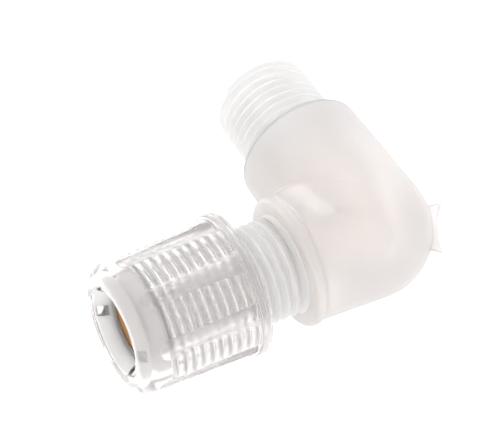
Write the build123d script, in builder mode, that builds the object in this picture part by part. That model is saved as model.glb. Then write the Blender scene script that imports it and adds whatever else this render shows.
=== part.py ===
"""Plastic elbow tube fitting: male port, threaded neck, fluted union nut, clamping collet and seal.

Frame, in millimetres: the port points along +Y and the tube leg along -X, +Z is up.
The origin is where the axes of the two legs cross, at the centre of the heel.
Along each leg a place is given by its distance from the origin, and a size by its radius.
"""

from build123d import *
from math import cos, floor, radians, sin, tan
import os

os.makedirs("parts", exist_ok=True)

# ---- Elbow body ----
heel_r = 6.45  # rounded outer corner of the elbow
port_leg_r = 6.25  # port leg at its shoulder
port_leg_length = 12.1  # origin to the shoulder that seals on the port
port_edge_r = 0.4  # rounded rim of that shoulder
tube_leg_r = 6.1  # tube leg just behind its collar
tube_leg_length = 8.5  # origin to the end of the collar
collar_width = 1.2
collar_height = 0.2  # how far the collar stands out of the tube leg
collar_edge_r = 0.5

# ---- Threads ----
thread_pitch = 0.907
thread_depth = 0.581
thread_crest = 0.15  # width of the flat on a crest
flank_angle = 27.5  # half of the angle between the flanks
thread_start_angle = 61.0  # keeps the start clear of the cylinders' seams
thread_relief = 0.6  # undercut beside each shoulder
groove_start = 0.3  # shoulder to the middle of a groove's first turn
relief_gap = 0.05  # how far an undercut is below the thread's root
foot_gap = 0.086  # how far the flared foot of an undercut is outside the thread
foot_length = 0.4
foot_land = 0.06  # plain edge at the outside of the foot
cutter_margin = 0.1  # how far a thread cutter stands out of what it cuts
port_thread_r = 4.864
port_thread_length = 8.0
port_chamfer = 0.5
neck_wall = 1.7  # tube socket to the crest of the neck's thread
neck_length = 14.45  # collar to the neck's front face
neck_chamfer = 0.45

# ---- Bores ----
tube_r = 3.0
tube_gap = 0.05  # tube to its socket
socket_depth = 16.0  # neck's front face to the shoulder that stops the tube
tube_bore_r = 2.0  # flow bore behind the socket
port_bore_r = 2.75
socket_lead_in = 0.2  # chamfer at the socket's mouth

# ---- Gate web on the heel ----
web_angle = -30.0  # direction of the web, from +X
web_shift = 0.7  # along the heel, towards the port
web_half_length = 2.5
web_height = 0.65
web_tip_height = 0.95
web_tip_reach = 3.1
web_hollow = 0.2  # depth of the hollow outer edge
web_thickness = 0.5
web_root = 1.2  # how deep the web is let into the heel

# ---- Union nut ----
nut_length = 12.55
mouth_cover = 0.1  # how far the nut's front face is past the collet's
nut_thread_gap = 0.12  # radial gap between the neck's thread and the nut's
flank_gap = 0.04  # gap along the axis on each flank
nut_thread_end = 2.95  # front face to the end of the thread
lead_in = 0.7
flange_wall = 2.03  # walls are measured out from the bottom of the nut's thread
flange_width = 1.05
flange_edge_r = 0.2
grip_back_wall = 1.68  # the grip tapers towards the mouth
grip_front_wall = 1.47
nose_length = 1.45  # rounded corner at the front
nose_drop = 1.09  # radius lost over that corner
mouth_chamfer = 0.15

# ---- Flutes of the grip ----
flute_count = 8
flute_r = 1.38
flute_depth = 0.55  # below the grip's mean radius
flute_front = 2.6  # nut's front face to the centre of the ball end
flute_turn = 22.5  # first flute, from +Z

# ---- Seal, seal cup and collet, stacked in front of the neck ----
seal_section_r = 0.625
seal_width = 1.1  # squeezed along the axis
seal_squeeze = 0.05  # how far the seal reaches inside the tube's radius
seal_gap = 0.05  # seal to its cup, with the nut not yet tight
chamber_gap = 0.13  # nut's chamber to the bottom of its thread
cup_floor = 0.3  # thickness of the cup between seal and collet
cup_gap = 0.1  # cup to the nut's chamber, and to the neck's front face
ring_step = 0.25  # cup's and collet's smallest radius, outside the socket's
ring_gap = 0.08  # collet to nut, all round
collet_head_width = 0.2
collet_cone_length = 0.6
collet_length = 1.4
funnel_kink = 0.95  # collet's back face to where its funnel opens out
funnel_kink_step = 0.45  # radius gained from the collet's back face to the kink
funnel_mouth_step = 0.28  # and from there to the front
collet_lip = 0.19  # width of the collet's front face
slot_count = 6
slot_width = 1.1
slot_base = 0.35  # solid ring left behind the slots
slot_turn = 106.0  # first slot, from +Z towards +Y

# ---- Worked out from the sizes above ----
socket_r = tube_r + tube_gap
neck_front = tube_leg_length + neck_length
socket_end = neck_front - socket_depth
neck_thread_r = socket_r + neck_wall
seal_inner_r = tube_r - seal_squeeze
seal_centre_r = seal_inner_r + seal_section_r
cup_inner_r = seal_centre_r + seal_section_r + seal_gap
cup_floor_back = neck_front + seal_width + seal_gap
collet_back = cup_floor_back + cup_floor
collet_front = collet_back + collet_length
ring_inner_r = socket_r + ring_step
funnel_kink_r = ring_inner_r + funnel_kink_step
funnel_mouth_r = funnel_kink_r + funnel_mouth_step
collet_nose_r = funnel_mouth_r + collet_lip
mouth_r = collet_nose_r + ring_gap
nut_front = collet_front + mouth_cover
nut_back = nut_front - nut_length
thread_finish = nut_front - nut_thread_end
nut_bore_r = neck_thread_r - thread_depth + nut_thread_gap
nut_groove_r = neck_thread_r + nut_thread_gap
chamber_r = nut_groove_r + chamber_gap
collet_head_r = chamber_r - ring_gap
cone_start = collet_back + collet_head_width
cone_end = cone_start + collet_cone_length
flange_r = nut_groove_r + flange_wall
grip_back_r = nut_groove_r + grip_back_wall
grip_front_r = nut_groove_r + grip_front_wall
nose_r = grip_front_r - nose_drop

# Planes of the legs' profiles: x runs out along the leg, y is the radius
TUBE_SIDE = Plane(origin=(0, 0, 0), x_dir=(-1, 0, 0), z_dir=(0, 1, 0))
PORT_SIDE = Plane.YZ


def flank_width(radius, crest_r, gap=0.0):
    """Width along the axis of a thread's ridge at a radius, with a gap on both flanks."""
    return thread_crest + 2 * (crest_r - radius) * tan(radians(flank_angle)) + 2 * gap


def thread_cutter(inner_r, inner_width, outer_r, outer_width, length):
    """Solid that cuts one helical groove. It climbs +Z from the origin, right-handed."""
    with BuildPart() as cutter:
        with BuildLine():
            path = Helix(thread_pitch, length, outer_r)
        with BuildSketch(Plane.XZ):
            with BuildLine():
                Polyline(
                    (inner_r, -inner_width / 2),
                    (outer_r, -outer_width / 2),
                    (outer_r, outer_width / 2),
                    (inner_r, inner_width / 2),
                    close=True,
                )
            make_face()
        sweep(path=path, is_frenet=True)
    return cutter.part


def threaded_stub(crest_r, length, chamfer, bore_r, bore_lead_in):
    """Hollow male thread on +Z, from its shoulder at the origin: undercut, crest, chamfered tip."""
    bottom_r = crest_r - thread_depth
    top_r = crest_r + cutter_margin
    relief_r = bottom_r - relief_gap
    with BuildPart() as stub:
        with BuildSketch(Plane.XZ):
            with BuildLine():
                Polyline(
                    (bore_r, 0),
                    (crest_r + foot_gap, 0),
                    (relief_r, foot_length),
                    (relief_r, thread_relief),
                    (crest_r, thread_relief),
                    (crest_r, length - chamfer),
                    (crest_r - chamfer, length),
                    (bore_r + bore_lead_in, length),
                    (bore_r, length - bore_lead_in),
                    close=True,
                )
            make_face()
        revolve(axis=Axis.Z)
        groove = thread_cutter(
            bottom_r,
            thread_pitch - flank_width(bottom_r, crest_r),
            top_r,
            thread_pitch - flank_width(top_r, crest_r),
            length - groove_start + thread_pitch,
        )
        start = Location((0, 0, groove_start), (0, 0, thread_start_angle))
        add(groove.moved(start), mode=Mode.SUBTRACT)
        with BuildSketch():
            Circle(crest_r + foot_gap)
            Circle(bore_r, mode=Mode.SUBTRACT)
        extrude(amount=foot_land)
    return stub.part


def on_leg(plane, distance):
    """Location at a distance along a leg, with its +Z running out along the leg."""
    out = plane.x_dir
    return Plane(origin=out * distance, x_dir=(0, 0, 1), z_dir=out).location


# ================= Elbow body =================
port_stub = threaded_stub(port_thread_r, port_thread_length, port_chamfer, port_bore_r, socket_lead_in)
neck_stub = threaded_stub(neck_thread_r, neck_length, neck_chamfer, socket_r, socket_lead_in)

with BuildPart() as elbow_body:
    Sphere(heel_r)

    # Port leg, with the rim of its shoulder rounded
    with BuildSketch(PORT_SIDE) as port_leg:
        with BuildLine():
            Polyline((0, 0), (0, heel_r), (port_leg_length, port_leg_r), (port_leg_length, 0), close=True)
        make_face()
        fillet(port_leg.vertices().group_by(Axis.X)[-1].sort_by(Axis.Y)[-1], port_edge_r)
    revolve(axis=Axis.Y)

    # Tube leg, and the rounded collar at its end
    with BuildSketch(TUBE_SIDE):
        with BuildLine():
            Polyline((0, 0), (0, heel_r), (tube_leg_length, tube_leg_r), (tube_leg_length, 0), close=True)
        make_face()
    revolve(axis=Axis.X)
    with BuildSketch(TUBE_SIDE) as collar:
        with Locations((tube_leg_length - collar_width / 2, tube_leg_r / 2 + collar_height / 2)):
            Rectangle(collar_width, tube_leg_r + collar_height)
        fillet(collar.vertices().group_by(Axis.Y)[-1], collar_edge_r)
    revolve(axis=Axis.X)

    # Torn gate web, left on the heel by the moulding
    out_x, out_y = cos(radians(web_angle)), sin(radians(web_angle))
    web_low = web_shift - web_half_length
    web_high = web_shift + web_half_length
    with BuildSketch(Plane(origin=(0, 0, -web_thickness / 2), x_dir=(out_x, out_y, 0))):
        with BuildLine():
            Polyline(
                (heel_r + web_height, web_low),
                (heel_r + web_tip_height, web_shift - web_tip_reach),
                (heel_r, web_low),
                (heel_r - web_root, web_low),
                (heel_r - web_root, web_high),
                (heel_r, web_high),
                (heel_r + web_tip_height, web_shift + web_tip_reach),
                (heel_r + web_height, web_high),
            )
            ThreePointArc(
                (heel_r + web_height, web_high),
                (heel_r + web_height - web_hollow, web_shift),
                (heel_r + web_height, web_low),
            )
        make_face()
    extrude(amount=web_thickness)

    # Flow passage inside the body: tube socket, bore behind it, rounded corner, port bore
    with BuildSketch(TUBE_SIDE):
        with BuildLine():
            Polyline(
                (0, 0),
                (0, tube_bore_r),
                (socket_end, tube_bore_r),
                (socket_end, socket_r),
                (tube_leg_length, socket_r),
                (tube_leg_length, 0),
                close=True,
            )
        make_face()
    revolve(axis=Axis.X, mode=Mode.SUBTRACT)
    Sphere(port_bore_r, mode=Mode.SUBTRACT)
    with BuildSketch(Plane.XZ):
        Circle(port_bore_r)
    extrude(amount=-port_leg_length, mode=Mode.SUBTRACT)

    # Threaded ends, with the passage already through them
    add(neck_stub.moved(on_leg(TUBE_SIDE, tube_leg_length)))
    add(port_stub.moved(on_leg(PORT_SIDE, port_leg_length)))
elbow_body.part.label = "elbow_body"

# ================= Seal =================
with BuildPart() as o_ring:
    with BuildSketch(TUBE_SIDE):
        with Locations((neck_front + seal_width / 2, seal_centre_r)):
            Circle(seal_section_r)
            Rectangle(seal_width, 2 * seal_section_r, mode=Mode.INTERSECT)
    revolve(axis=Axis.X)
o_ring.part.label = "o_ring"

# ================= Seal cup =================
cup_back = neck_front + cup_gap
cup_outer_r = chamber_r - cup_gap
with BuildPart() as seal_cup:
    with BuildSketch(TUBE_SIDE):
        with BuildLine():
            Polyline(
                (cup_back, cup_inner_r),
                (cup_floor_back, cup_inner_r),
                (cup_floor_back, ring_inner_r),
                (collet_back, ring_inner_r),
                (collet_back, cup_outer_r),
                (cup_back, cup_outer_r),
                close=True,
            )
        make_face()
    revolve(axis=Axis.X)
seal_cup.part.label = "seal_cup"

# ================= Clamping collet =================
with BuildPart() as slot_cutter:
    with Locations((-(collet_back + slot_base), 0, 0)):
        Box(collet_length, slot_width, chamber_r, align=(Align.MAX, Align.CENTER, Align.MIN))

with BuildPart() as clamp_collet:
    with BuildSketch(TUBE_SIDE):
        with BuildLine():
            Polyline(
                (collet_back, ring_inner_r),
                (collet_back + funnel_kink, funnel_kink_r),
                (collet_front, funnel_mouth_r),
                (collet_front, collet_nose_r),
                (cone_end, collet_nose_r),
                (cone_start, collet_head_r),
                (collet_back, collet_head_r),
                close=True,
            )
        make_face()
    revolve(axis=Axis.X)
    for index in range(slot_count):
        turn = -(slot_turn + index * 360 / slot_count)
        add(slot_cutter.part.rotate(Axis.X, turn), mode=Mode.SUBTRACT)
clamp_collet.part.label = "clamp_collet"

# ================= Union nut =================
flange_front = nut_back + flange_width
flute_centre_r = (grip_back_r + grip_front_r) / 2 - flute_depth + flute_r
ball_centre = nut_front - flute_front
with BuildPart() as flute_cutter:
    with BuildSketch(Plane(origin=(-flange_front, 0, flute_centre_r), x_dir=(0, 1, 0), z_dir=(-1, 0, 0))):
        Circle(flute_r)
    extrude(amount=ball_centre - flange_front)
    with Locations((-ball_centre, 0, flute_centre_r)):
        Sphere(flute_r)

# The nut's groove holds the neck's ridge, half a pitch from the neck's groove, and starts behind the nut
neck_groove_start = tube_leg_length + groove_start
pitches_back = floor((nut_back - neck_groove_start) / thread_pitch) - 1
nut_groove_start = neck_groove_start + (pitches_back + 0.5) * thread_pitch
nut_cutter_r = nut_bore_r - cutter_margin
nut_groove = thread_cutter(
    nut_cutter_r,
    flank_width(nut_cutter_r, neck_thread_r, flank_gap),
    nut_groove_r,
    flank_width(nut_groove_r, neck_thread_r, flank_gap),
    thread_finish + thread_pitch / 2 - nut_groove_start,
)

with BuildPart() as union_nut:
    with BuildSketch(TUBE_SIDE) as nut_profile:
        with BuildLine():
            Polyline(
                (nut_front, nose_r),
                (nut_front, mouth_r + mouth_chamfer),
                (nut_front - mouth_chamfer, mouth_r),
                (cone_end, mouth_r),
                (cone_start, chamber_r),
                (thread_finish, chamber_r),
                (thread_finish, nut_bore_r),
                (nut_back + lead_in, nut_bore_r),
                (nut_back, nut_bore_r + lead_in),
                (nut_back, flange_r),
                (flange_front, flange_r),
                (flange_front, grip_back_r),
                (nut_front - nose_length, grip_front_r),
            )
            TangentArc((nut_front - nose_length, grip_front_r), (nut_front, nose_r), tangent=(1, 0))
        make_face()
        fillet(nut_profile.vertices().group_by(Axis.Y)[-1], flange_edge_r)
    revolve(axis=Axis.X)
    for index in range(flute_count):
        turn = flute_turn + index * 360 / flute_count
        add(flute_cutter.part.rotate(Axis.X, turn), mode=Mode.SUBTRACT)
    start = on_leg(TUBE_SIDE, nut_groove_start) * Location((0, 0, 0), (0, 0, thread_start_angle))
    add(nut_groove.moved(start), mode=Mode.SUBTRACT)
union_nut.part.label = "union_nut"

# ================= Output =================
for piece in (elbow_body, o_ring, seal_cup, clamp_collet, union_nut):
    export_step(piece.part, f"parts/{piece.part.label}.step")
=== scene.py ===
from math import ceil, cos, pi, radians, sin, sqrt

import bpy
import bmesh
from mathutils import Matrix, Vector


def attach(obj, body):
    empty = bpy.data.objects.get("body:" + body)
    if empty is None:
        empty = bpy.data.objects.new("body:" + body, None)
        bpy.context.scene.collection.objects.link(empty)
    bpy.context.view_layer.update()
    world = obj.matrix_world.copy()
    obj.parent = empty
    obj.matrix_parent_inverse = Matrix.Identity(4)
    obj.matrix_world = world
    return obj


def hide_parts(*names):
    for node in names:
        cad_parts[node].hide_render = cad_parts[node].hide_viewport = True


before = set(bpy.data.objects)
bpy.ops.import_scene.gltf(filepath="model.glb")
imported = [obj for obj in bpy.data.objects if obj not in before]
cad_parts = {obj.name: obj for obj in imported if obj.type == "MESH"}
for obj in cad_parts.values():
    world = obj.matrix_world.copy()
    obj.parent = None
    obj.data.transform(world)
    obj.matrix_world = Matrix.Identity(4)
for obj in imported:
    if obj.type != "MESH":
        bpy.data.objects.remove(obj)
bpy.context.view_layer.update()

# ================= Elbow body =================
# The elbow is one moulding of milky, slightly see-through plastic: a round heel, a port leg with
# a male pipe thread, and a tube leg with a collar and a long threaded neck. The passage runs
# through it, with a socket that the tube is pushed into.
MM = 0.001
HEEL_R = 6.45 * MM
PORT_LEG_R = 6.25 * MM
PORT_LEG_END = 12.1 * MM
TUBE_LEG_R = 6.1 * MM
TUBE_LEG_END = 8.5 * MM
COLLAR_R = 6.3 * MM
COLLAR_START = 7.3 * MM
PITCH = 0.907 * MM
THREAD_DEPTH = 0.581 * MM
THREAD_RELIEF = 0.6 * MM
FOOT_GAP = 0.086 * MM
FOOT_LENGTH = 0.4 * MM
FOOT_LAND = 0.06 * MM
NECK_R = 4.75 * MM
NECK_END = 22.95 * MM
PORT_R = 4.864 * MM
PORT_END = 20.1 * MM
SOCKET_R = 3.05 * MM
SOCKET_END = 6.95 * MM
BORE_R = 2.0 * MM
PORT_BORE_R = 2.75 * MM
INNER_FILLET = 0.05  # share of the heel's radius that rounds the inside of the corner
BORE_FILLET = 0.25
ELBOW_COLUMNS = 128
CORNER_ROWS = 20
LEG_ROWS = 24
CORE_ROWS = 8
THREAD_ROWS = 18  # rings in one pitch
COLLAR_ROUND = 0.5 * MM
RIM_ROUND = 0.4 * MM
LEG_JOIN = 0.45 * MM  # from the port leg's last tapered ring to its end
NECK_CHAMFER = 0.45 * MM
PORT_CHAMFER = 0.5 * MM
MOUTH_CHAMFER = 0.2 * MM
PORT_BORE_START = 4.0 * MM
CORE_JOIN = 3.9 * MM  # where the flared core meets the port's bore
ROOT_CLEARANCE = 0.05 * MM
GROOVE_OPEN_HALF = 0.3785 * MM
GROOVE_BOTTOM_HALF = 0.076 * MM


def along(points, step=0.4 * MM, hold=0.04 * MM):
    """Points along a profile: each straight run is divided, with a close pair at each corner."""
    rows = [points[0]]
    for (a, ra), (b, rb) in zip(points, points[1:]):
        length = sqrt((b - a) ** 2 + (rb - ra) ** 2)
        edge = min(hold, length / 4) / length
        count = max(1, ceil(length / step))
        for share in [edge] + [i / count for i in range(1, count)] + [1 - edge, 1]:
            rows.append((a + (b - a) * share, ra + (rb - ra) * share))
    return rows


def closed_grid(name, rows, body_marks=()):
    """Mesh from rings of points that close both ways. Marks are named ranges of rings."""
    columns = len(rows[0])
    points = [p for row in rows for p in row]
    count = len(rows)
    faces = []
    for i in range(count):
        j = (i + 1) % count
        for k in range(columns):
            m = (k + 1) % columns
            faces.append((i * columns + k, j * columns + k, j * columns + m, i * columns + m))
    mesh = bpy.data.meshes.new(name)
    mesh.from_pydata(points, [], faces)
    for mark, start, end in body_marks:
        layer = mesh.attributes.new(mark, "FLOAT", "POINT")
        values = [0.0] * len(points)
        values[start * columns:end * columns] = [1.0] * ((end - start) * columns)
        layer.data.foreach_set("value", values)
    shape = bmesh.new()
    shape.from_mesh(mesh)
    bmesh.ops.remove_doubles(shape, verts=shape.verts, dist=1e-7)
    bmesh.ops.dissolve_degenerate(shape, dist=1e-8, edges=shape.edges)
    bmesh.ops.recalc_face_normals(shape, faces=shape.faces)
    shape.to_mesh(mesh)
    shape.free()
    mesh.polygons.foreach_set("use_smooth", [True] * len(mesh.polygons))
    piece = bpy.data.objects.new(name, mesh)
    bpy.context.scene.collection.objects.link(piece)
    return piece


def tube_leg_point(t, r, turn):
    """Point at distance t along the tube leg; turn is measured from +Y towards +Z."""
    return (-t, r * cos(turn), r * sin(turn))


def port_leg_point(s, r, turn):
    """Point at distance s along the port leg, in the same column as the tube leg's turn."""
    return (-r * cos(turn), s, r * sin(turn))


def corner(radius, fillet):
    """Rings of the elbow's corner, from the tube leg to the port leg, and each ring's ends."""
    rings = []
    for i in range(CORNER_ROWS + 1):
        sweep = i / CORNER_ROWS * pi / 2
        ring = []
        for k in range(ELBOW_COLUMNS):
            turn = 2 * pi * k / ELBOW_COLUMNS
            side, height = cos(turn), radius * sin(turn)
            if side > 0:
                centre = radius * (1 + fillet) * side
                ring.append((
                    -centre + radius * fillet * side * sin(sweep),
                    centre - radius * fillet * side * cos(sweep),
                    height,
                ))
            else:
                ring.append((-radius * side * sin(sweep), radius * side * cos(sweep), height))
        rings.append(ring)
    return rings


def leg_rings(point, radius, fillet, end, end_r, count):
    """Rings from the corner to a leg's plain end, without the corner's own ring."""
    rings = []
    for i in range(1, count + 1):
        share = i / count
        ring = []
        for k in range(ELBOW_COLUMNS):
            turn = 2 * pi * k / ELBOW_COLUMNS
            start = max(0.0, radius * (1 + fillet) * cos(turn))
            ring.append(point(start + (end - start) * share, radius + (end_r - radius) * share, turn))
        rings.append(ring)
    return rings


def profile_rings(point, profile):
    turns = [2 * pi * k / ELBOW_COLUMNS for k in range(ELBOW_COLUMNS)]
    return [[point(t, r, turn) for turn in turns] for t, r in profile]


def rounded(t, r, radius, start, end, steps=6):
    """Quarter arc of a profile about a centre, between two angles."""
    angles = [radians(start + (end - start) * i / steps) for i in range(steps + 1)]
    return [(t + radius * cos(a), r + radius * sin(a)) for a in angles]


def threaded_run(leg_end, crest_r, tip, chamfer):
    """Profile of a threaded end, from its shoulder to its tip, and the span of its fine rings."""
    relief_r = crest_r - THREAD_DEPTH - ROOT_CLEARANCE
    start, stop = leg_end + THREAD_RELIEF, tip - chamfer
    before = along([
        (leg_end, crest_r + FOOT_GAP),
        (leg_end + FOOT_LAND, crest_r + FOOT_GAP),
        (leg_end + FOOT_LENGTH, relief_r),
        (start, relief_r),
    ])
    fine = ceil((tip - start) / (PITCH / THREAD_ROWS))
    thread = []
    for i in range(fine + 1):
        t = start + (tip - start) * i / fine
        thread.append((t, min(crest_r, crest_r - (t - stop))))
    return before, thread


collar_arc_r = COLLAR_R - COLLAR_ROUND
collar = rounded(COLLAR_START + COLLAR_ROUND, collar_arc_r, COLLAR_ROUND, 155, 90)
collar += rounded(TUBE_LEG_END - COLLAR_ROUND, collar_arc_r, COLLAR_ROUND, 90, 0)
neck_before, neck_thread = threaded_run(TUBE_LEG_END, NECK_R, NECK_END, NECK_CHAMFER)
tube_profile = collar + along([(TUBE_LEG_END, collar_arc_r), neck_before[0]])[1:-1] + neck_before
socket = along([
    (NECK_END, NECK_R - NECK_CHAMFER),
    (NECK_END, SOCKET_R + MOUTH_CHAMFER),
    (NECK_END - MOUTH_CHAMFER, SOCKET_R),
    (SOCKET_END, SOCKET_R),
    (SOCKET_END, BORE_R),
])[1:]

rim_arc_r = PORT_LEG_R - RIM_ROUND
rim = rounded(PORT_LEG_END - RIM_ROUND, rim_arc_r, RIM_ROUND, 85, 0)
port_before, port_thread = threaded_run(PORT_LEG_END, PORT_R, PORT_END, PORT_CHAMFER)
port_profile = rim + along([(PORT_LEG_END, rim_arc_r), port_before[0]])[1:-1] + port_before
port_bore = along([
    (PORT_END, PORT_R - PORT_CHAMFER),
    (PORT_END, PORT_BORE_R + MOUTH_CHAMFER),
    (PORT_END - MOUTH_CHAMFER, PORT_BORE_R),
    (PORT_BORE_START, PORT_BORE_R),
])[1:]

rings = corner(HEEL_R, INNER_FILLET)
rings += leg_rings(port_leg_point, HEEL_R, INNER_FILLET, PORT_LEG_END - LEG_JOIN, PORT_LEG_R, LEG_ROWS)
rings += profile_rings(port_leg_point, port_profile)
port_first = len(rings)
rings += profile_rings(port_leg_point, port_thread)
port_last = len(rings)
rings += profile_rings(port_leg_point, port_bore)
inner = leg_rings(port_leg_point, BORE_R, BORE_FILLET, CORE_JOIN, PORT_BORE_R, CORE_ROWS)
rings += inner[::-1] + corner(BORE_R, BORE_FILLET)[::-1]
rings += leg_rings(tube_leg_point, BORE_R, BORE_FILLET, SOCKET_END, BORE_R, CORE_ROWS)
rings += profile_rings(tube_leg_point, socket[::-1][1:])
neck_first = len(rings)
rings += profile_rings(tube_leg_point, neck_thread[::-1])
neck_last = len(rings)
rings += profile_rings(tube_leg_point, tube_profile[::-1])
rings += leg_rings(tube_leg_point, HEEL_R, INNER_FILLET, COLLAR_START, TUBE_LEG_R, LEG_ROWS)[::-1]
elbow = closed_grid("elbow_moulding", rings, (
    ("port_thread", port_first, port_last),
    ("neck_thread", neck_first, neck_last),
))


def new_tree(name, kind, inputs, outputs):
    tree = bpy.data.node_groups.new(name, kind)
    for label, socket_kind, value in inputs:
        made = tree.interface.new_socket(name=label, in_out="INPUT", socket_type=socket_kind)
        if value is not None:
            made.default_value = value
    for label, socket_kind in outputs:
        tree.interface.new_socket(name=label, in_out="OUTPUT", socket_type=socket_kind)
    return tree, tree.nodes.new("NodeGroupInput").outputs, tree.nodes.new("NodeGroupOutput").inputs


def wire(tree, socket, value):
    if isinstance(value, bpy.types.NodeSocket):
        tree.links.new(value, socket)
    else:
        socket.default_value = value


def maths(tree, operation, *values, clamp=False):
    step = tree.nodes.new("ShaderNodeMath")
    step.operation = operation
    step.use_clamp = clamp
    for socket, value in zip(step.inputs, values):
        wire(tree, socket, value)
    return step.outputs[0]


def vector_maths(tree, operation, *values):
    step = tree.nodes.new("ShaderNodeVectorMath")
    step.operation = operation
    for socket, value in zip(step.inputs, values):
        wire(tree, socket, value)
    return step.outputs["Value" if operation == "DOT_PRODUCT" else "Vector"]


def end_tree(tree, geometry, material, outlet):
    """Ends a Geometry Nodes tree: instances are made real and take the material."""
    real = tree.nodes.new("GeometryNodeRealizeInstances")
    tree.links.new(geometry, real.inputs[0])
    painted = tree.nodes.new("GeometryNodeSetMaterial")
    tree.links.new(real.outputs[0], painted.inputs["Geometry"])
    tree.links.new(material, painted.inputs["Material"])
    tree.links.new(painted.outputs[0], outlet)


# Helical groove: rings marked with an attribute are pushed along their radius
thread_tree, thread_in, thread_out = new_tree("thread_form", "GeometryNodeTree", [
    ("Geometry", "NodeSocketGeometry", None),
    ("Mark", "NodeSocketString", ""),
    ("Axis", "NodeSocketVector", (0, 0, 1)),
    ("Across", "NodeSocketVector", (0, 1, 0)),
    ("Pitch", "NodeSocketFloat", PITCH),
    ("Start", "NodeSocketFloat", 0.0),
    ("Depth", "NodeSocketFloat", THREAD_DEPTH),
    ("Open half width", "NodeSocketFloat", GROOVE_OPEN_HALF),
    ("Bottom half width", "NodeSocketFloat", GROOVE_BOTTOM_HALF),
    ("Fade from", "NodeSocketFloat", 0.0),
    ("Fade to", "NodeSocketFloat", 1.0),
    ("Material", "NodeSocketMaterial", None),
], [("Geometry", "NodeSocketGeometry")])
ring_place = thread_tree.nodes.new("GeometryNodeInputPosition").outputs[0]
distance = vector_maths(thread_tree, "DOT_PRODUCT", ring_place, thread_in["Axis"])
on_axis = thread_tree.nodes.new("ShaderNodeVectorMath")
on_axis.operation = "SCALE"
thread_tree.links.new(thread_in["Axis"], on_axis.inputs[0])
thread_tree.links.new(distance, on_axis.inputs["Scale"])
outward = vector_maths(thread_tree, "SUBTRACT", ring_place, on_axis.outputs[0])
up_part = vector_maths(thread_tree, "DOT_PRODUCT", outward, (0, 0, 1))
side_part = vector_maths(thread_tree, "DOT_PRODUCT", outward, thread_in["Across"])
groove_turn = maths(thread_tree, "DIVIDE", maths(thread_tree, "ARCTAN2", side_part, up_part), 2 * pi)
travel = maths(thread_tree, "SUBTRACT", distance, thread_in["Start"])
pitches = maths(thread_tree, "DIVIDE", travel, thread_in["Pitch"])
phase = maths(thread_tree, "SUBTRACT", pitches, groove_turn)
from_groove = maths(thread_tree, "ABSOLUTE", maths(thread_tree, "SUBTRACT", maths(
    thread_tree, "FRACT", maths(thread_tree, "ADD", phase, 0.5)), 0.5))
half_width = maths(thread_tree, "MULTIPLY", from_groove, thread_in["Pitch"])
flank = maths(thread_tree, "DIVIDE",
              maths(thread_tree, "SUBTRACT", thread_in["Open half width"], half_width),
              maths(thread_tree, "SUBTRACT", thread_in["Open half width"], thread_in["Bottom half width"]),
              clamp=True)
fade = maths(thread_tree, "DIVIDE",
             maths(thread_tree, "SUBTRACT", thread_in["Fade to"], distance),
             maths(thread_tree, "SUBTRACT", thread_in["Fade to"], thread_in["Fade from"]),
             clamp=True)
marked = thread_tree.nodes.new("GeometryNodeInputNamedAttribute")
marked.data_type = "FLOAT"
thread_tree.links.new(thread_in["Mark"], marked.inputs["Name"])
amount = maths(thread_tree, "MULTIPLY", maths(thread_tree, "MULTIPLY", flank, thread_in["Depth"]),
               maths(thread_tree, "MULTIPLY", marked.outputs[0], fade))
inward = thread_tree.nodes.new("ShaderNodeVectorMath")
inward.operation = "SCALE"
thread_tree.links.new(vector_maths(thread_tree, "NORMALIZE", outward), inward.inputs[0])
thread_tree.links.new(maths(thread_tree, "MULTIPLY", amount, -1.0), inward.inputs["Scale"])
push = thread_tree.nodes.new("GeometryNodeSetPosition")
thread_tree.links.new(thread_in["Geometry"], push.inputs["Geometry"])
thread_tree.links.new(inward.outputs[0], push.inputs["Offset"])
end_tree(thread_tree, push.outputs[0], thread_in["Material"], thread_out["Geometry"])


def add_nodes(piece, tree, **values):
    """Gives a piece a Geometry Nodes modifier, with its inputs set by their identifiers."""
    step = piece.modifiers.new(tree.name, "NODES")
    step.node_group = tree
    for item in tree.interface.items_tree:
        label = item.name.replace(" ", "_").lower()
        if item.in_out == "INPUT" and label in values:
            step[item.identifier] = values[label]


def settle(piece):
    """Turns a piece's modifiers into its plain mesh."""
    seen = piece.evaluated_get(bpy.context.evaluated_depsgraph_get())
    mesh = bpy.data.meshes.new_from_object(seen)
    piece.modifiers.clear()
    piece.data = mesh
    mesh.name = piece.name


# Moulded finish: soft mottling and a fine surface, shared by the plastics and the rubber
MOTTLE_DETAIL = 3.0
MOTTLE_CONTRAST = 2.4
MOTTLE_OFFSET = -0.7
FINE_SCALE = 2400.0
FINE_DETAIL = 2.0
FINE_SHARE = 0.2
finish_tree, finish_in, finish_out = new_tree("moulded_finish", "ShaderNodeTree", [
    ("Colour", "NodeSocketColor", (0.8, 0.8, 0.8, 1)),
    ("Second colour", "NodeSocketColor", (0.7, 0.7, 0.7, 1)),
    ("Mottle size", "NodeSocketFloat", 200.0),
    ("Roughness", "NodeSocketFloat", 0.3),
    ("Roughness change", "NodeSocketFloat", 0.08),
], [("Colour", "NodeSocketColor"), ("Roughness", "NodeSocketFloat"), ("Height", "NodeSocketFloat")])
finish_place = finish_tree.nodes.new("ShaderNodeTexCoord").outputs["Object"]
mottle = finish_tree.nodes.new("ShaderNodeTexNoise")
finish_tree.links.new(finish_place, mottle.inputs["Vector"])
finish_tree.links.new(finish_in["Mottle size"], mottle.inputs["Scale"])
mottle.inputs["Detail"].default_value = MOTTLE_DETAIL
fine = finish_tree.nodes.new("ShaderNodeTexNoise")
finish_tree.links.new(finish_place, fine.inputs["Vector"])
fine.inputs["Scale"].default_value = FINE_SCALE
fine.inputs["Detail"].default_value = FINE_DETAIL
blend = finish_tree.nodes.new("ShaderNodeMix")
blend.data_type = "RGBA"
spread = maths(finish_tree, "MULTIPLY_ADD", mottle.outputs["Fac"], MOTTLE_CONTRAST, MOTTLE_OFFSET,
               clamp=True)
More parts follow.
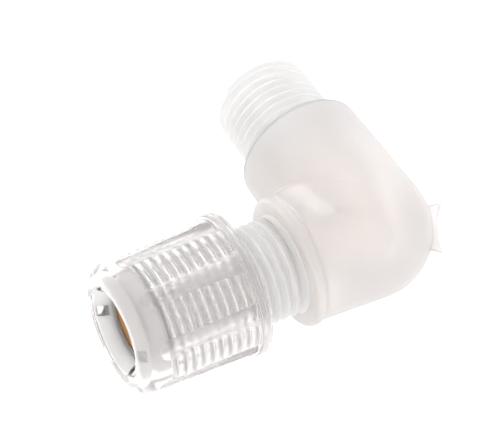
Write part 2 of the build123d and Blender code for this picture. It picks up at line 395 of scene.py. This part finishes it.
finish_tree.links.new(spread, blend.inputs["Factor"])
finish_tree.links.new(finish_in["Colour"], blend.inputs["A"])
finish_tree.links.new(finish_in["Second colour"], blend.inputs["B"])
finish_tree.links.new(blend.outputs["Result"], finish_out["Colour"])
change = maths(finish_tree, "MULTIPLY", maths(finish_tree, "SUBTRACT", mottle.outputs["Fac"], 0.5),
               finish_in["Roughness change"])
finish_tree.links.new(maths(finish_tree, "ADD", finish_in["Roughness"], change), finish_out["Roughness"])
finish_tree.links.new(maths(finish_tree, "ADD", maths(finish_tree, "MULTIPLY", fine.outputs["Fac"],
                                                      FINE_SHARE),
                            mottle.outputs["Fac"]), finish_out["Height"])


def moulded(name, colour, second, mottle_size, roughness, roughness_change, bump, **sockets):
    """Material with the moulded finish; further Principled sockets are set as they are given."""
    material = bpy.data.materials.new(name)
    material.use_nodes = True
    tree = material.node_tree
    shader = tree.nodes["Principled BSDF"]
    surface = tree.nodes.new("ShaderNodeGroup")
    surface.node_tree = finish_tree
    surface.inputs["Colour"].default_value = (*colour, 1)
    surface.inputs["Second colour"].default_value = (*second, 1)
    surface.inputs["Mottle size"].default_value = mottle_size
    surface.inputs["Roughness"].default_value = roughness
    surface.inputs["Roughness change"].default_value = roughness_change
    relief = tree.nodes.new("ShaderNodeBump")
    relief.inputs["Distance"].default_value = bump
    relief.inputs["Strength"].default_value = 1.0
    tree.links.new(surface.outputs["Height"], relief.inputs["Height"])
    tree.links.new(surface.outputs["Colour"], shader.inputs["Base Color"])
    tree.links.new(surface.outputs["Roughness"], shader.inputs["Roughness"])
    tree.links.new(relief.outputs["Normal"], shader.inputs["Normal"])
    for label, value in sockets.items():
        shader.inputs[label.replace("_", " ").title().replace("Ior", "IOR")].default_value = value
    return material


milky = moulded("milky_plastic", (0.885, 0.825, 0.795), (0.84, 0.815, 0.81), mottle_size=90.0,
                roughness=0.42, roughness_change=0.1, bump=0.00002, ior=1.45, transmission_weight=0.57,
                subsurface_weight=1.0,
                subsurface_radius=(0.006, 0.005, 0.0045), subsurface_scale=1.0)

# Painted shade: the rounded rim of the port's shoulder is painted greyer, standing in for the light that
# slips out through it
RIM_BAND = 0.6 * MM
RIM_FADE = 0.2 * MM
RIM_SHADE_COLOUR = (0.64, 0.63, 0.66, 1)
milky_tree = milky.node_tree
rim_place = milky_tree.nodes.new("ShaderNodeSeparateXYZ")
milky_tree.links.new(milky_tree.nodes.new("ShaderNodeTexCoord").outputs["Object"], rim_place.inputs[0])
rim_shade_mask = maths(milky_tree, "DIVIDE", maths(milky_tree, "SUBTRACT", rim_place.outputs["Y"],
                                             PORT_LEG_END - RIM_BAND), RIM_FADE, clamp=True)
rim_shade_blend = milky_tree.nodes.new("ShaderNodeMix")
rim_shade_blend.data_type = "RGBA"
body_colour = milky_tree.nodes["Principled BSDF"].inputs["Base Color"]
milky_tree.links.new(body_colour.links[0].from_socket, rim_shade_blend.inputs["A"])
rim_shade_blend.inputs["B"].default_value = RIM_SHADE_COLOUR
milky_tree.links.new(rim_shade_mask, rim_shade_blend.inputs["Factor"])
milky_tree.links.new(rim_shade_blend.outputs["Result"], body_colour)
elbow.data.materials.append(milky)
add_nodes(elbow, thread_tree, mark="port_thread", axis=(0, 1, 0), across=(-1, 0, 0),
          start=PORT_LEG_END, fade_from=PORT_END + PITCH, fade_to=PORT_END + 2 * PITCH, material=milky)
add_nodes(elbow, thread_tree, mark="neck_thread", axis=(-1, 0, 0), across=(0, 1, 0),
          start=TUBE_LEG_END, fade_from=NECK_END + PITCH, fade_to=NECK_END + 2 * PITCH, material=milky)
settle(elbow)
# Brighter copy of the milky plastic for the threaded ends: painted light, standing in for the light that
# shines through their thin walls
lit_milky = moulded("thin_milky_plastic", (0.985, 0.96, 0.945), (0.97, 0.955, 0.945), mottle_size=90.0,
               roughness=0.36, roughness_change=0.06, bump=0.00002, ior=1.4, transmission_weight=0.35,
               subsurface_weight=1.0,
               subsurface_radius=(0.0035, 0.0035, 0.0035), subsurface_scale=1.0)
elbow.data.materials.append(lit_milky)
# Faces past each leg's shoulder take the brighter copy, so the painted light covers the threads and the
# ends
PAST_SHOULDER = 0.01 * MM
for face in elbow.data.polygons:
    if face.center.y > PORT_LEG_END + PAST_SHOULDER or face.center.x < -TUBE_LEG_END - PAST_SHOULDER:
        face.material_index = 1
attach(elbow, "elbow")
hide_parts("elbow_body")

# ================= Gate web =================
# A torn flake of plastic that the mould's gate left on the outside of the heel, along the parting
# line. It is thin, with a hollow outer edge and two flared tips.
WEB_TURN = radians(-30)
WEB_SHIFT = 0.7 * MM
WEB_STEPS = 24
WEB_REACH = 0.45 * MM
WEB_TIP_REACH = 0.5 * MM
WEB_HALF = 2.5  # mm
WEB_FLARE = 0.6  # mm, added at the tips
WEB_ROOT_DEPTH = 0.9 * MM
WEB_ROOT_SHARE = 0.8  # the root's length, as a share of the edge's
# Way out, half thickness in mm
WEB_THICKNESS = ((0, 0.25), (0.5, 0.2), (0.8, 0.12), (0.97, 0.05), (1, 0.015))
web_points = []
for i in range(WEB_STEPS + 1):
    along_heel = -1 + 2 * i / WEB_STEPS
    tip = abs(along_heel) ** 4
    reach = WEB_REACH + WEB_TIP_REACH * tip
    width = (WEB_HALF + WEB_FLARE * tip) * MM * (1 if along_heel > 0 else -1) * abs(along_heel)
    web_points.append((HEEL_R + reach, WEB_SHIFT + width))
shape = bmesh.new()
columns = []
for outer_x, outer_y in web_points:
    root_y = WEB_SHIFT + (outer_y - WEB_SHIFT) * WEB_ROOT_SHARE
    root_x = HEEL_R - WEB_ROOT_DEPTH
    column = []
    for share, thick in WEB_THICKNESS:
        x = root_x + (outer_x - root_x) * share
        y = root_y + (outer_y - root_y) * share
        spot_x = x * cos(WEB_TURN) - y * sin(WEB_TURN)
        spot_y = x * sin(WEB_TURN) + y * cos(WEB_TURN)
        column.append((shape.verts.new((spot_x, spot_y, thick * MM)),
                       shape.verts.new((spot_x, spot_y, -thick * MM))))
    columns.append(column)
for a, b in zip(columns, columns[1:]):
    for i in range(len(a) - 1):
        shape.faces.new((a[i][0], a[i + 1][0], b[i + 1][0], b[i][0]))
        shape.faces.new((a[i][1], b[i][1], b[i + 1][1], a[i + 1][1]))
    shape.faces.new((a[-1][0], a[-1][1], b[-1][1], b[-1][0]))
    shape.faces.new((a[0][0], b[0][0], b[0][1], a[0][1]))
for column in (columns[0], columns[-1]):
    for i in range(len(column) - 1):
        shape.faces.new((column[i][0], column[i][1], column[i + 1][1], column[i + 1][0]))
bmesh.ops.recalc_face_normals(shape, faces=shape.faces)
web_mesh = bpy.data.meshes.new("gate_web")
shape.to_mesh(web_mesh)
shape.free()
web_mesh.polygons.foreach_set("use_smooth", [True] * len(web_mesh.polygons))
web_mesh.set_sharp_from_angle(angle=radians(40))
web = bpy.data.objects.new("gate_web", web_mesh)
bpy.context.scene.collection.objects.link(web)
web.data.materials.append(milky)
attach(web, "elbow")

# ================= Seal =================
# A brown rubber ring of round section, squeezed between the neck's front face and
# its cup. It seals on the tube.
SEAL_R = 0.625 * MM
SEAL_CENTRE_R = 3.575 * MM
SEAL_HALF = 0.55 * MM
SEAL_ROWS = 48
RING_COLUMNS = 128


def lathe(name, profile, columns=RING_COLUMNS):
    """Closed ring about the tube leg, from a closed profile of (distance, radius)."""
    turns = [2 * pi * k / columns for k in range(columns)]
    return closed_grid(name, [[tube_leg_point(t, r, turn) for turn in turns] for t, r in profile])


seal_mid = NECK_END + SEAL_HALF
seal_profile = []
for i in range(SEAL_ROWS):
    angle = 2 * pi * i / SEAL_ROWS
    t = max(-SEAL_HALF, min(SEAL_HALF, SEAL_R * cos(angle)))
    seal_profile.append((seal_mid + t, SEAL_CENTRE_R + SEAL_R * sin(angle)))
seal = lathe("seal_ring", seal_profile)
rubber = moulded("brown_rubber", (0.43, 0.215, 0.06), (0.35, 0.17, 0.05), mottle_size=900.0,
                 roughness=0.5, roughness_change=0.2, bump=0.00003, ior=1.5, specular_ior_level=0.4)
seal.data.materials.append(rubber)
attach(seal, "elbow")
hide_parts("o_ring")

# ================= Seal cup =================
# A white plastic cup with a thin floor and a short skirt. It holds the seal in shape and keeps the
# collet's slots off the rubber.
CUP_BACK = NECK_END + 0.1 * MM
CUP_FLOOR_BACK = NECK_END + 1.15 * MM
CUP_FRONT = CUP_FLOOR_BACK + 0.3 * MM
CUP_INNER_R = 4.25 * MM
RING_INNER_R = 3.3 * MM
CUP_R = 4.9 * MM
EASE = 0.05 * MM
cup = lathe("cup_ring", along([
    (CUP_BACK + EASE, CUP_INNER_R),
    (CUP_FLOOR_BACK, CUP_INNER_R),
    (CUP_FLOOR_BACK, RING_INNER_R + EASE),
    (CUP_FLOOR_BACK + EASE, RING_INNER_R),
    (CUP_FRONT - EASE, RING_INNER_R),
    (CUP_FRONT, RING_INNER_R + EASE),
    (CUP_FRONT, CUP_R - EASE),
    (CUP_FRONT - EASE, CUP_R),
    (CUP_BACK + EASE, CUP_R),
    (CUP_BACK, CUP_R - EASE),
    (CUP_BACK, CUP_INNER_R + EASE),
    (CUP_BACK + EASE, CUP_INNER_R),
], hold=0.02 * MM)[:-1])
white = moulded("white_plastic", (0.99, 0.985, 0.98), (0.98, 0.975, 0.975), mottle_size=400.0,
                roughness=0.6, roughness_change=0.1, bump=0.00001, ior=1.3, transmission_weight=0.15,
                subsurface_weight=1.0,
                subsurface_radius=(0.002, 0.002, 0.002), subsurface_scale=1.0)
cup.data.materials.append(white)
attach(cup, "collet")
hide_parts("seal_cup")

# ================= Clamping collet =================
# A white ring with six slots, which the nut's cone closes on the tube. Its funnel guides the tube
# in, and its nose shows in the nut's mouth.
COLLET_BACK = CUP_FRONT
COLLET_FRONT = COLLET_BACK + 1.4 * MM
CHAMBER_R = 5.0 * MM
MOUTH_R = 4.3 * MM
RING_GAP = 0.08 * MM
CONE_START = COLLET_BACK + 0.2 * MM
CONE_END = CONE_START + 0.6 * MM
SLOTS = 6
SLOT_WIDTH = 1.1 * MM
SLOT_TURN = radians(106)
FUNNEL_KINK = 0.95 * MM
FUNNEL_KINK_R = 3.75 * MM
FUNNEL_MOUTH_R = 4.02 * MM
SLOT_BACK = 0.35 * MM
SLOT_LENGTH = 1.4 * MM
SLOT_HEIGHT = 3 * MM
nose_r = MOUTH_R - RING_GAP
collet = lathe("slotted_ring", along([
    (COLLET_BACK, RING_INNER_R + EASE),
    (COLLET_BACK + EASE, RING_INNER_R),
    (COLLET_BACK + FUNNEL_KINK, FUNNEL_KINK_R),
    (COLLET_FRONT - EASE, FUNNEL_MOUTH_R),
    (COLLET_FRONT, FUNNEL_MOUTH_R + EASE),
    (COLLET_FRONT, nose_r - EASE),
    (COLLET_FRONT - EASE, nose_r),
    (CONE_END, nose_r),
    (CONE_START, CHAMBER_R - RING_GAP),
    (COLLET_BACK, CHAMBER_R - RING_GAP),
    (COLLET_BACK, RING_INNER_R + EASE),
], step=0.5 * MM, hold=0.015 * MM)[:-1])
slot_tree, slot_in, slot_out = new_tree("ring_slots", "GeometryNodeTree", [
    ("Geometry", "NodeSocketGeometry", None),
    ("Count", "NodeSocketInt", SLOTS),
    ("Size", "NodeSocketVector", (1, 1, 1)),
    ("Centre", "NodeSocketVector", (0, 0, 0)),
    ("Radius", "NodeSocketFloat", 0.004),
    ("Turn", "NodeSocketFloat", 0.0),
    ("Material", "NodeSocketMaterial", None),
], [("Geometry", "NodeSocketGeometry")])
block = slot_tree.nodes.new("GeometryNodeMeshCube")
slot_tree.links.new(slot_in["Size"], block.inputs["Size"])
row = slot_tree.nodes.new("GeometryNodePoints")
slot_tree.links.new(slot_in["Count"], row.inputs["Count"])
index = slot_tree.nodes.new("GeometryNodeInputIndex").outputs[0]
slot_step = maths(slot_tree, "DIVIDE", maths(slot_tree, "MULTIPLY", index, 2 * pi), slot_in["Count"])
slot_angle = maths(slot_tree, "ADD", slot_step, slot_in["Turn"])
seat = slot_tree.nodes.new("ShaderNodeCombineXYZ")
wire(slot_tree, seat.inputs["Y"], maths(slot_tree, "MULTIPLY", maths(slot_tree, "SINE", slot_angle),
                                        slot_in["Radius"]))
wire(slot_tree, seat.inputs["Z"], maths(slot_tree, "MULTIPLY", maths(slot_tree, "COSINE", slot_angle),
                                        slot_in["Radius"]))
wire(slot_tree, row.inputs["Position"], vector_maths(slot_tree, "ADD", seat.outputs[0], slot_in["Centre"]))
slot_tilt = slot_tree.nodes.new("ShaderNodeCombineXYZ")
wire(slot_tree, slot_tilt.inputs["X"], maths(slot_tree, "MULTIPLY", slot_angle, -1.0))
copies = slot_tree.nodes.new("GeometryNodeInstanceOnPoints")
slot_tree.links.new(row.outputs[0], copies.inputs["Points"])
slot_tree.links.new(block.outputs["Mesh"], copies.inputs["Instance"])
slot_tree.links.new(slot_tilt.outputs[0], copies.inputs["Rotation"])
cut = slot_tree.nodes.new("GeometryNodeMeshBoolean")
cut.operation = "DIFFERENCE"
slot_tree.links.new(slot_in["Geometry"], cut.inputs["Mesh 1"])
slot_tree.links.new(copies.outputs[0], cut.inputs["Mesh 2"])
end_tree(slot_tree, cut.outputs["Mesh"], slot_in["Material"], slot_out["Geometry"])
slot_centre = -(COLLET_BACK + SLOT_BACK + SLOT_LENGTH / 2)
collet.data.materials.append(white)
add_nodes(collet, slot_tree, count=SLOTS, size=(SLOT_LENGTH, SLOT_WIDTH, SLOT_HEIGHT),
          centre=(slot_centre, 0.0, 0.0), radius=MOUTH_R, turn=SLOT_TURN, material=white)
settle(collet)
collet.data.set_sharp_from_angle(angle=radians(35))
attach(collet, "collet")
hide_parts("clamp_collet")

# ================= Union nut =================
# The nut is moulded in clear plastic, with a flange at its back, eight thumb flutes with ball
# ends, and an open mouth. Its internal thread, which pulls it onto the neck, shows through it.
NUT_BACK = 13.35 * MM
NUT_FRONT = 25.9 * MM
FLANGE_R = 6.895 * MM
FLANGE_FRONT = NUT_BACK + 1.05 * MM
GRIP_BACK_R = 6.55 * MM
GRIP_FRONT_R = 6.34 * MM
NOSE_START = NUT_FRONT - 1.45 * MM
NOSE_ROUND = 1.508 * MM
NOSE_BEND = radians(74)
NOSE_STEPS = 14
FLANGE_ROUND = 0.2 * MM
NUT_MOUTH_EASE = 0.15 * MM
BALL_ROWS = 26
NUT_THREAD_ROWS = 14  # rings in one pitch
NUT_OPEN_HALF = 0.355 * MM
NUT_BOTTOM_HALF = 0.053 * MM
FLUTE_EDGE = 0.1 * MM
HOLLOW_DEPTH = 0.12 * MM
SATIN = 0.2  # roughness added in the flutes
THREAD_END = NUT_FRONT - 2.95 * MM
NUT_BORE_R = 4.289 * MM
LEAD_IN = 0.7 * MM
FLUTES = 8
FLUTE_R = 1.38 * MM
FLUTE_CENTRE_R = 7.275 * MM
BALL_CENTRE = NUT_FRONT - 2.6 * MM
NUT_COLUMNS = 240

nose = []
for i in range(NOSE_STEPS + 1):
    bend = NOSE_BEND * i / NOSE_STEPS
    nose.append((NOSE_START + NOSE_ROUND * sin(bend), GRIP_FRONT_R - NOSE_ROUND * (1 - cos(bend))))
nose_scale = (NUT_FRONT - NOSE_START) / (nose[-1][0] - NOSE_START)
nose = [(NOSE_START + (t - NOSE_START) * nose_scale, r) for t, r in nose]
flange_arc_r = FLANGE_R - FLANGE_ROUND
flange = rounded(NUT_BACK + FLANGE_ROUND, flange_arc_r, FLANGE_ROUND, 180, 90)
flange += rounded(FLANGE_FRONT - FLANGE_ROUND, flange_arc_r, FLANGE_ROUND, 90, 0)
grip = along([(FLANGE_FRONT, flange_arc_r), (FLANGE_FRONT, GRIP_BACK_R)], step=0.2 * MM)[1:]
grip += along([(FLANGE_FRONT, GRIP_BACK_R), (BALL_CENTRE, GRIP_FRONT_R)], step=0.6 * MM)[1:]
grip += [(BALL_CENTRE + (NOSE_START - BALL_CENTRE) * i / BALL_ROWS, GRIP_FRONT_R) for i in range(1,
                                                                                                 BALL_ROWS)]
front = along([
    nose[-1],
    (NUT_FRONT, MOUTH_R + NUT_MOUTH_EASE),
    (NUT_FRONT - NUT_MOUTH_EASE, MOUTH_R),
    (CONE_END, MOUTH_R),
    (CONE_START, CHAMBER_R),
    (THREAD_END, CHAMBER_R),
    (THREAD_END, NUT_BORE_R),
], hold=0.03 * MM)[1:]
fine_rows = ceil((THREAD_END - NUT_BACK) / (PITCH / NUT_THREAD_ROWS))
inside = []
for i in range(1, fine_rows + 1):
    t = THREAD_END - (THREAD_END - NUT_BACK) * i / fine_rows
    inside.append((t, NUT_BORE_R + max(0.0, NUT_BACK + LEAD_IN - t)))
back_face = along([inside[-1], flange[0]])[1:-1]
nut_profile = flange + grip + nose + front
nut_first = len(nut_profile) - 1
nut_profile += inside + back_face
turns = [2 * pi * k / NUT_COLUMNS for k in range(NUT_COLUMNS)]
grip_first = len(flange) + 2
grip_last = len(flange) + len(grip) + len(nose)
nut = closed_grid(
    "clear_nut",
    [[tube_leg_point(t, r, turn) for turn in turns] for t, r in nut_profile],
    (("nut_thread", nut_first, nut_first + len(inside)), ("grip", grip_first, grip_last)),
)

# Flutes: where a flute's round cutter is nearer the axis than the grip, the grip follows it
flute_tree, flute_in, flute_out = new_tree("grip_flutes", "GeometryNodeTree", [
    ("Geometry", "NodeSocketGeometry", None),
    ("Count", "NodeSocketInt", FLUTES),
    ("Flute radius", "NodeSocketFloat", FLUTE_R),
    ("Centre radius", "NodeSocketFloat", FLUTE_CENTRE_R),
    ("Ball centre", "NodeSocketFloat", BALL_CENTRE),
    ("Edge radius", "NodeSocketFloat", FLUTE_EDGE),
    ("Material", "NodeSocketMaterial", None),
], [("Geometry", "NodeSocketGeometry")])
grip_place = flute_tree.nodes.new("GeometryNodeInputPosition").outputs[0]
parts = flute_tree.nodes.new("ShaderNodeSeparateXYZ")
flute_tree.links.new(grip_place, parts.inputs[0])
period = maths(flute_tree, "DIVIDE", 2 * pi, flute_in["Count"])
grip_turn = maths(flute_tree, "ARCTAN2", parts.outputs["Y"], parts.outputs["Z"])
from_flute = maths(flute_tree, "SUBTRACT", maths(flute_tree, "FLOORED_MODULO", grip_turn, period),
                   maths(flute_tree, "MULTIPLY", period, 0.5))
past_ball = maths(flute_tree, "MAXIMUM", maths(flute_tree, "SUBTRACT", maths(
    flute_tree, "MULTIPLY", parts.outputs["X"], -1.0), flute_in["Ball centre"]), 0.0)
across = maths(flute_tree, "MULTIPLY", flute_in["Centre radius"], maths(flute_tree, "SINE", from_flute))
room = maths(flute_tree, "SUBTRACT", maths(
    flute_tree, "SUBTRACT", maths(flute_tree, "POWER", flute_in["Flute radius"], 2.0),
    maths(flute_tree, "POWER", past_ball, 2.0)), maths(flute_tree, "MULTIPLY", across, across))
cutter = maths(flute_tree, "SUBTRACT", maths(
    flute_tree, "MULTIPLY", flute_in["Centre radius"], maths(flute_tree, "COSINE", from_flute)),
    maths(flute_tree, "SQRT", maths(flute_tree, "MAXIMUM", room, 0.0)))
radius = maths(flute_tree, "SQRT", maths(flute_tree, "ADD", maths(
    flute_tree, "POWER", parts.outputs["Y"], 2.0), maths(flute_tree, "POWER", parts.outputs["Z"], 2.0)))
lower = maths(flute_tree, "SMOOTH_MIN", radius, cutter, flute_in["Edge radius"])
marked = flute_tree.nodes.new("GeometryNodeInputNamedAttribute")
marked.data_type = "FLOAT"
marked.inputs["Name"].default_value = "grip"
scale = maths(flute_tree, "DIVIDE", maths(flute_tree, "MULTIPLY_ADD", maths(
    flute_tree, "SUBTRACT", lower, radius), marked.outputs[0], radius), radius)
carved = flute_tree.nodes.new("ShaderNodeCombineXYZ")
flute_tree.links.new(parts.outputs["X"], carved.inputs["X"])
wire(flute_tree, carved.inputs["Y"], maths(flute_tree, "MULTIPLY", parts.outputs["Y"], scale))
wire(flute_tree, carved.inputs["Z"], maths(flute_tree, "MULTIPLY", parts.outputs["Z"], scale))
hollow = maths(flute_tree, "MULTIPLY", maths(flute_tree, "DIVIDE", maths(
    flute_tree, "SUBTRACT", radius, lower), HOLLOW_DEPTH, clamp=True), marked.outputs[0])
keep = flute_tree.nodes.new("GeometryNodeStoreNamedAttribute")
keep.data_type = "FLOAT"
keep.domain = "POINT"
keep.inputs["Name"].default_value = "hollow"
flute_tree.links.new(flute_in["Geometry"], keep.inputs["Geometry"])
flute_tree.links.new(hollow, keep.inputs["Value"])
push = flute_tree.nodes.new("GeometryNodeSetPosition")
flute_tree.links.new(keep.outputs["Geometry"], push.inputs["Geometry"])
flute_tree.links.new(carved.outputs[0], push.inputs["Position"])
end_tree(flute_tree, push.outputs[0], flute_in["Material"], flute_out["Geometry"])

clear = moulded("clear_plastic", (0.985, 0.955, 0.945), (0.975, 0.955, 0.95), mottle_size=120.0,
                roughness=0.09, roughness_change=0.04, bump=0.00001, ior=1.49, transmission_weight=0.84)
clear_tree = clear.node_tree
clear_shader = clear_tree.nodes["Principled BSDF"]
satin = clear_tree.nodes.new("ShaderNodeAttribute")
satin.attribute_name = "hollow"
polished = clear_shader.inputs["Roughness"].links[0].from_socket
clear_tree.links.new(maths(clear_tree, "MULTIPLY_ADD", satin.outputs["Fac"], SATIN, polished),
                     clear_shader.inputs["Roughness"])
nut.data.materials.append(clear)
add_nodes(nut, flute_tree, material=clear)
add_nodes(nut, thread_tree, mark="nut_thread", axis=(-1, 0, 0), across=(0, 1, 0),
          start=TUBE_LEG_END + PITCH / 2, depth=-THREAD_DEPTH, open_half_width=NUT_OPEN_HALF,
          bottom_half_width=NUT_BOTTOM_HALF, fade_from=THREAD_END - PITCH / 2, fade_to=THREAD_END,
          material=clear)
settle(nut)
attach(nut, "nut")
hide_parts("union_nut")

# ================= Floor, light and camera =================
# A plain white table under soft light from all round. The darker side of the room gives the clear
# plastic its grey streaks.
floor_z = -6.9 * MM
floor_mesh = bpy.data.meshes.new("table_top")
REACH = 3.0
floor_mesh.from_pydata([(-REACH, -REACH, floor_z), (REACH, -REACH, floor_z), (REACH, REACH, floor_z),
                        (-REACH, REACH, floor_z)], [], [(0, 1, 2, 3)])
table = bpy.data.objects.new("table_top", floor_mesh)
bpy.context.scene.collection.objects.link(table)
paper = bpy.data.materials.new("white_paper")
paper.use_nodes = True
paper_shader = paper.node_tree.nodes["Principled BSDF"]
paper_shader.inputs["Base Color"].default_value = (0.35, 0.35, 0.35, 1)
paper_shader.inputs["Roughness"].default_value = 0.9
paper_shader.inputs["Specular IOR Level"].default_value = 0.0
paper_shader.inputs["Emission Color"].default_value = (1, 1, 1, 1)
paper_shader.inputs["Emission Strength"].default_value = 1.1
floor_mesh.materials.append(paper)

DARK_SIDE = (-0.334, -0.584, 0.739)
ROOM_FALL = 7.0
ROOM_LEVEL = 7.3
ROOM_DARKEST = 0.3
ROOM_BRIGHTEST = 1.35
world = bpy.data.worlds.new("studio")
bpy.context.scene.world = world
world.use_nodes = True
sky = world.node_tree
glow = sky.nodes["Background"]
direction = sky.nodes.new("ShaderNodeTexCoord").outputs["Generated"]
toward_room = vector_maths(sky, "DOT_PRODUCT", direction, DARK_SIDE)
shade = maths(sky, "MULTIPLY_ADD", toward_room, -ROOM_FALL, ROOM_LEVEL)
strength = maths(sky, "MINIMUM", maths(sky, "MAXIMUM", shade, ROOM_DARKEST), ROOM_BRIGHTEST)
sky.links.new(strength, glow.inputs["Strength"])
glow.inputs["Color"].default_value = (1, 1, 1, 1)


def softbox(name, place, size, power, target=(-0.008, 0.002, 0)):
    lamp = bpy.data.lights.new(name, "AREA")
    lamp.shape = "SQUARE"
    lamp.size = size
    lamp.energy = power
    box = bpy.data.objects.new(name, lamp)
    box.location = place
    box.rotation_euler = (Vector(target) - Vector(place)).to_track_quat("-Z", "Y").to_euler()
    bpy.context.scene.collection.objects.link(box)


softbox("top_light", (0.05, 0.1, 0.45), size=0.5, power=0.2)

VIEW_AZIMUTH = radians(-29.75)
VIEW_ELEVATION = radians(47.68)
VIEW_ROLL = radians(1.33)
VIEW_DISTANCE = 0.2289
VIEW_AIM = (-0.010672, 0.004326, 0)
AIM_RIGHT = 0.000855
AIM_UP = 0.002129
aim = Vector(VIEW_AIM)
back = Vector((sin(VIEW_AZIMUTH) * cos(VIEW_ELEVATION), -cos(VIEW_AZIMUTH) * cos(VIEW_ELEVATION),
               sin(VIEW_ELEVATION)))
right = Vector((0, 0, 1)).cross(back).normalized()
up = back.cross(right)
camera_x = right * cos(VIEW_ROLL) + up * sin(VIEW_ROLL)
camera_y = up * cos(VIEW_ROLL) - right * sin(VIEW_ROLL)
aim += camera_x * AIM_RIGHT + camera_y * AIM_UP
camera_place = aim + back * VIEW_DISTANCE
lens = bpy.data.cameras.new("camera")
lens.lens = 179.0
lens.sensor_width = 36.0
lens.clip_start = 0.01
lens.clip_end = 20.0
camera = bpy.data.objects.new("camera", lens)
camera.matrix_world = Matrix((
    (camera_x.x, camera_y.x, back.x, camera_place.x),
    (camera_x.y, camera_y.y, back.y, camera_place.y),
    (camera_x.z, camera_y.z, back.z, camera_place.z),
    (0, 0, 0, 1),
))
bpy.context.scene.collection.objects.link(camera)
bpy.context.scene.camera = camera
bpy.context.scene.view_settings.view_transform = "Standard"
bpy.context.scene.cycles.max_bounces = 24
bpy.context.scene.cycles.transmission_bounces = 20
bpy.context.scene.cycles.glossy_bounces = 8
